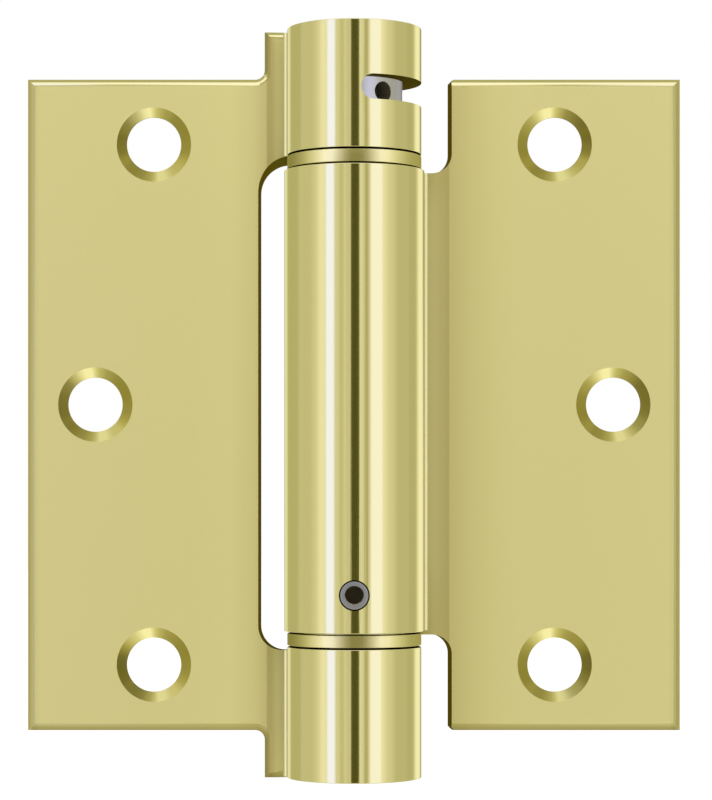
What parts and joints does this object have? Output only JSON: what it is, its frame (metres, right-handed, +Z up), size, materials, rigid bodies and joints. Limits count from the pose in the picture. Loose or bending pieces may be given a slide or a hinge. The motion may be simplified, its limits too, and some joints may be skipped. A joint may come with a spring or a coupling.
{
  "type": "spring hinge",
  "caption": "Brass-finished adjustable spring hinge opened flat: square-cornered leaves with countersunk holes, and a spring barrel with an adjusting window.",
  "frame": {"origin": "on the pin axis, half way up the barrel, at the centre of the hinge's box when it is opened flat", "axes": "+Z up the barrel, +X out along the door leaf, -X along the jamb leaf; the countersunk faces look along -Y"},
  "size_m": [0.0888, 0.019, 0.1016],
  "materials": {
    "brass_finish": "satin brass plate on steel",
    "bearing_brass": "turned brass",
    "spindle_steel": "turned, zinc-plated steel",
    "spring_steel": "oiled spring wire",
    "pin_steel": "rolled steel"
  },
  "bodies": {
    "jamb_leaf": {"jamb_leaf": "brass_finish", "top_end_plug": "brass_finish", "bottom_end_plug": "brass_finish", "centre_rod": "spindle_steel"},
    "door_leaf": {"door_leaf": "brass_finish", "upper_bearing_bush": "bearing_brass", "lower_bearing_bush": "bearing_brass", "anchor_spindle": "spindle_steel", "anchor_pin": "pin_steel", "torsion_spring": "spring_steel"},
    "adjusting_spindle": {"adjusting_spindle": "spindle_steel"}
  },
  "joints": [
    {"name": "leaf_swing", "type": "hinge", "parent": "jamb_leaf", "child": "door_leaf", "pos_m": [0, 0, 0], "axis": [0, 0, 1], "range_deg": [-180, 0]},
    {"name": "spring_wind", "type": "hinge", "parent": "door_leaf", "child": "adjusting_spindle", "pos_m": [0, 0, 0], "axis": [0, 0, 1], "range_deg": [-300, 0], "stiffness_Nm_per_rad": 0.2, "deforming": ["torsion_spring"]}
  ]
}
